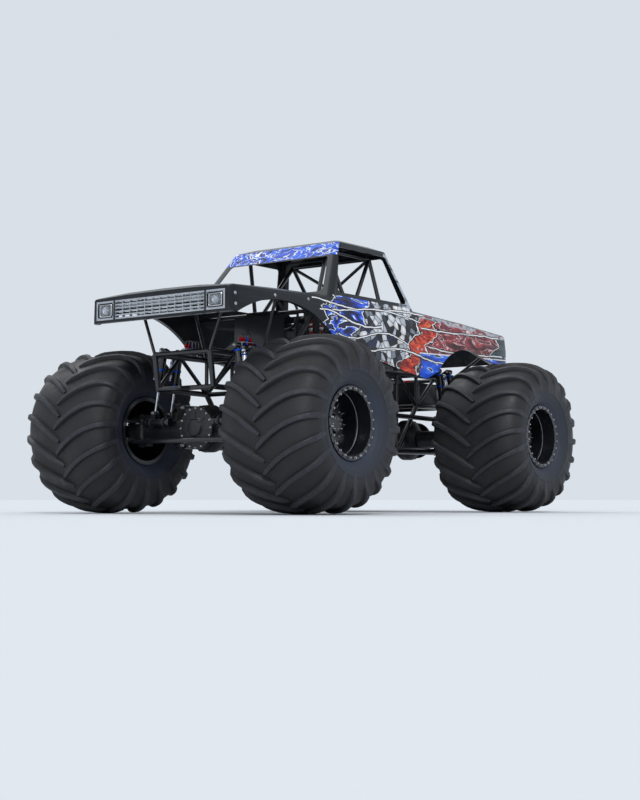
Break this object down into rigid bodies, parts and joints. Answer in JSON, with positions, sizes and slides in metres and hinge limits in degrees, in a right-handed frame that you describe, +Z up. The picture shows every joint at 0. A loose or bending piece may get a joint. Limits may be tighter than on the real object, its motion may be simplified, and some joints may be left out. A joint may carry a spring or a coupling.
{
  "type": "monster truck",
  "caption": "Open-frame monster truck: slim pickup body over a tubular space frame, planetary steering axles, long-link suspension and huge chevron-lug tyres.",
  "frame": {"origin": "on the floor under the middle of the truck, midway between the axles", "axes": "+Z up, +X to the truck's left side, -Y to its nose"},
  "size_m": [3.66, 5.276, 2.845],
  "materials": {
    "frame_paint": "gloss",
    "cage_paint": "gloss",
    "body_gelcoat": "gloss",
    "bright_trim": "polished",
    "lamp_lens": "gloss",
    "sheet_aluminium": "satin",
    "skid_alloy": "matte",
    "seat_cover": "matte",
    "wheel_rim_cover": "matte",
    "engine_paint": "satin",
    "cast_alloy": "satin",
    "header_steel": "satin",
    "shaft_paint": "satin",
    "radiator_alloy": "satin",
    "tank_plastic": "satin",
    "axle_paint": "satin",
    "link_paint": "satin",
    "shock_anodised": "satin",
    "hard_chrome": "polished",
    "ram_paint": "satin",
    "wheel_paint": "satin",
    "tyre_rubber": "matte"
  },
  "bodies": {
    "chassis": {"chassis_rails": "frame_paint", "chassis_bracing": "frame_paint", "chassis_brackets": "frame_paint", "tow_lugs": "frame_paint", "roll_cage": "cage_paint", "body_mounts": "cage_paint", "front_clip": "body_gelcoat", "cab_shell": "body_gelcoat", "bed_shell": "body_gelcoat", "grille": "bright_trim", "headlamps": "lamp_lens", "floor_pan": "sheet_aluminium", "belly_skid": "skid_alloy", "seat": "seat_cover", "steering_wheel": "wheel_rim_cover", "engine_block": "engine_paint", "cylinder_heads": "cast_alloy", "supercharger": "cast_alloy", "exhaust_headers": "header_steel", "gearbox": "cast_alloy", "transfer_case": "cast_alloy", "driveshafts": "shaft_paint", "radiator": "radiator_alloy", "fuel_cell": "tank_plastic", "axle_housing_front": "axle_paint", "axle_housing_rear": "axle_paint", "suspension_links": "link_paint", "shock_bodies": "shock_anodised", "shock_shafts": "hard_chrome", "ram_barrels": "ram_paint"},
    "knuckle_front_left": {"knuckle_front_left": "axle_paint"},
    "wheel_front_left": {"wheel_front_left": "wheel_paint", "tyre_front_left": "tyre_rubber"},
    "ram_front_left": {"ram_rod_front_left": "hard_chrome"},
    "knuckle_front_right": {"knuckle_front_right": "axle_paint"},
    "wheel_front_right": {"wheel_front_right": "wheel_paint", "tyre_front_right": "tyre_rubber"},
    "ram_front_right": {"ram_rod_front_right": "hard_chrome"},
    "tie_rod_front": {"tie_rod_front": "link_paint"},
    "knuckle_rear_left": {"knuckle_rear_left": "axle_paint"},
    "wheel_rear_left": {"wheel_rear_left": "wheel_paint", "tyre_rear_left": "tyre_rubber"},
    "ram_rear_left": {"ram_rod_rear_left": "hard_chrome"},
    "knuckle_rear_right": {"knuckle_rear_right": "axle_paint"},
    "wheel_rear_right": {"wheel_rear_right": "wheel_paint", "tyre_rear_right": "tyre_rubber"},
    "ram_rear_right": {"ram_rod_rear_right": "hard_chrome"},
    "tie_rod_rear": {"tie_rod_rear": "link_paint"}
  },
  "joints": [
    {"name": "steer_front_left", "type": "hinge", "parent": "chassis", "child": "knuckle_front_left", "pos_m": [0.88, -1.8, 0.838], "axis": [0, 0, 1], "range_deg": [-20, 20]},
    {"name": "spin_front_left", "type": "hinge", "parent": "knuckle_front_left", "child": "wheel_front_left", "pos_m": [1.285, -1.8, 0.838], "axis": [1, 0, 0], "continuous": true},
    {"name": "ram_front_left", "type": "slide", "parent": "chassis", "child": "ram_front_left", "axis": [1, 0, 0], "range_m": [-0.0756, 0.0756]},
    {"name": "steer_front_right", "type": "hinge", "parent": "chassis", "child": "knuckle_front_right", "pos_m": [-0.88, -1.8, 0.838], "axis": [0, 0, 1], "range_deg": [-20, 20]},
    {"name": "spin_front_right", "type": "hinge", "parent": "knuckle_front_right", "child": "wheel_front_right", "pos_m": [-1.285, -1.8, 0.838], "axis": [1, 0, 0], "continuous": true},
    {"name": "ram_front_right", "type": "slide", "parent": "chassis", "child": "ram_front_right", "axis": [1, 0, 0], "range_m": [-0.0756, 0.0756]},
    {"name": "tie_front", "type": "hinge", "parent": "knuckle_front_left", "child": "tie_rod_front", "pos_m": [0.88, -2.02, 0.718], "axis": [0, 0, 1], "range_deg": [-20, 20]},
    {"name": "steer_rear_left", "type": "hinge", "parent": "chassis", "child": "knuckle_rear_left", "pos_m": [0.88, 1.8, 0.838], "axis": [0, 0, 1], "range_deg": [-20, 20]},
    {"name": "spin_rear_left", "type": "hinge", "parent": "knuckle_rear_left", "child": "wheel_rear_left", "pos_m": [1.285, 1.8, 0.838], "axis": [1, 0, 0], "continuous": true},
    {"name": "ram_rear_left", "type": "slide", "parent": "chassis", "child": "ram_rear_left", "axis": [1, 0, 0], "range_m": [-0.0756, 0.0756]},
    {"name": "steer_rear_right", "type": "hinge", "parent": "chassis", "child": "knuckle_rear_right", "pos_m": [-0.88, 1.8, 0.838], "axis": [0, 0, 1], "range_deg": [-20, 20]},
    {"name": "spin_rear_right", "type": "hinge", "parent": "knuckle_rear_right", "child": "wheel_rear_right", "pos_m": [-1.285, 1.8, 0.838], "axis": [1, 0, 0], "continuous": true},
    {"name": "ram_rear_right", "type": "slide", "parent": "chassis", "child": "ram_rear_right", "axis": [1, 0, 0], "range_m": [-0.0756, 0.0756]},
    {"name": "tie_rear", "type": "hinge", "parent": "knuckle_rear_left", "child": "tie_rod_rear", "pos_m": [0.88, 2.02, 0.718], "axis": [0, 0, 1], "range_deg": [-20, 20]}
  ],
  "couplings": [
    {"joint": "ram_front_left", "follows": "steer_front_left", "m_per_rad": 0.2156},
    {"joint": "steer_front_right", "follows": "steer_front_left", "ratio": 1},
    {"joint": "ram_front_right", "follows": "steer_front_left", "m_per_rad": 0.2156},
    {"joint": "tie_front", "follows": "steer_front_left", "ratio": -1},
    {"joint": "ram_rear_left", "follows": "steer_rear_left", "m_per_rad": -0.2156},
    {"joint": "steer_rear_right", "follows": "steer_rear_left", "ratio": 1},
    {"joint": "ram_rear_right", "follows": "steer_rear_left", "m_per_rad": -0.2156},
    {"joint": "tie_rear", "follows": "steer_rear_left", "ratio": -1}
  ]
}
